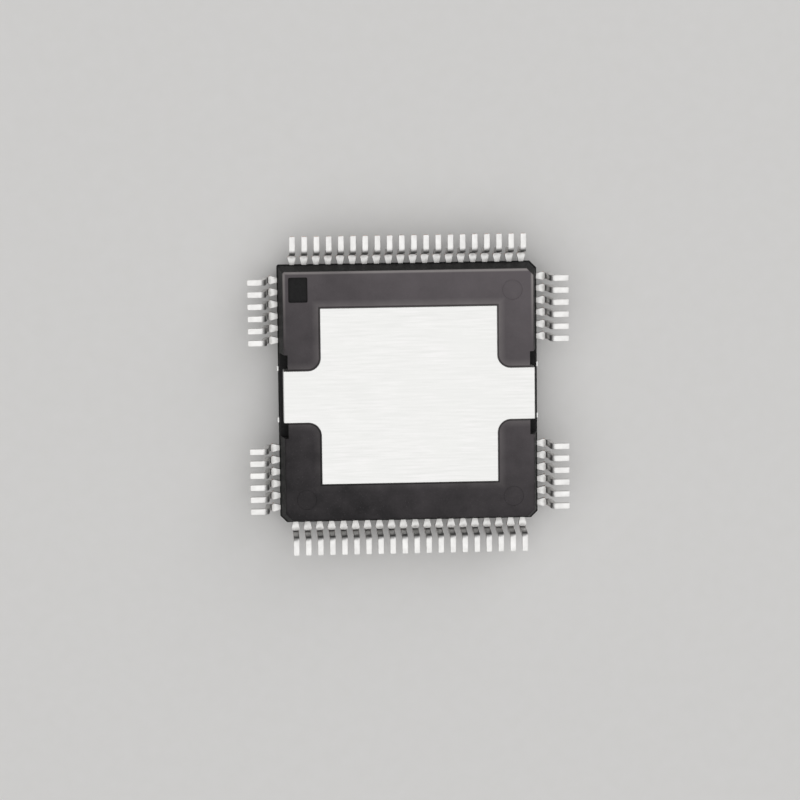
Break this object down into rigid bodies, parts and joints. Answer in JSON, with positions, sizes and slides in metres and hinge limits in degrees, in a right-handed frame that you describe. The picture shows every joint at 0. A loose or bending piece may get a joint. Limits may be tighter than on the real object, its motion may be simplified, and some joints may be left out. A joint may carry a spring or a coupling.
{
  "type": "quad flat pack chip",
  "caption": "Surface-mount integrated circuit in a moulded square body with gull-wing leads on all four sides and a large cross-shaped heat slug in its solder side",
  "frame": {"origin": "centre of the marking face, on which the part lies", "axes": "+Z from the marking face to the solder side, where the heat slug and the feet of the leads are; X along the slug's two tabs; the marked corner is at -X +Y"},
  "size_m": [0.0172, 0.0172, 0.0029],
  "materials": {
    "moulded_epoxy": "matte, finely eroded mould texture",
    "plated_slug": "pale matte tin plating on copper",
    "plated_leadframe": "satin tin plating on copper",
    "die_solder": "satin",
    "silicon": "polished",
    "gold_wire": "bright"
  },
  "bodies": {
    "root": {"moulded_body": "moulded_epoxy", "heat_slug": "plated_slug", "die_solder": "die_solder", "silicon_die": "silicon", "tie_plate_left": "plated_leadframe", "tie_plate_right": "plated_leadframe", "leads_01_02": "plated_leadframe", "leads_03_04": "plated_leadframe", "leads_05_06": "plated_leadframe", "leads_07_08": "plated_leadframe", "leads_09_10": "plated_leadframe", "leads_11_12": "plated_leadframe", "leads_13_14": "plated_leadframe", "leads_15_16": "plated_leadframe", "leads_17_18": "plated_leadframe", "leads_19_20": "plated_leadframe", "leads_21_22": "plated_leadframe", "leads_23_24": "plated_leadframe", "leads_25_26": "plated_leadframe", "leads_27_28": "plated_leadframe", "leads_29_30": "plated_leadframe", "leads_31_32": "plated_leadframe", "leads_33_34": "plated_leadframe", "leads_35_36": "plated_leadframe", "leads_37_38": "plated_leadframe", "leads_39_40": "plated_leadframe", "leads_41_42": "plated_leadframe", "leads_43_44": "plated_leadframe", "leads_45_46": "plated_leadframe", "leads_47_48": "plated_leadframe", "leads_49_50": "plated_leadframe", "leads_51_52": "plated_leadframe", "leads_53_54": "plated_leadframe", "leads_55_56": "plated_leadframe", "leads_57_58": "plated_leadframe", "leads_59_60": "plated_leadframe", "leads_61_62": "plated_leadframe", "leads_63_64": "plated_leadframe", "bond_wires_rear": "gold_wire", "bond_wires_right": "gold_wire", "bond_wires_front": "gold_wire", "bond_wires_left": "gold_wire"}
  },
  "joints": []
}
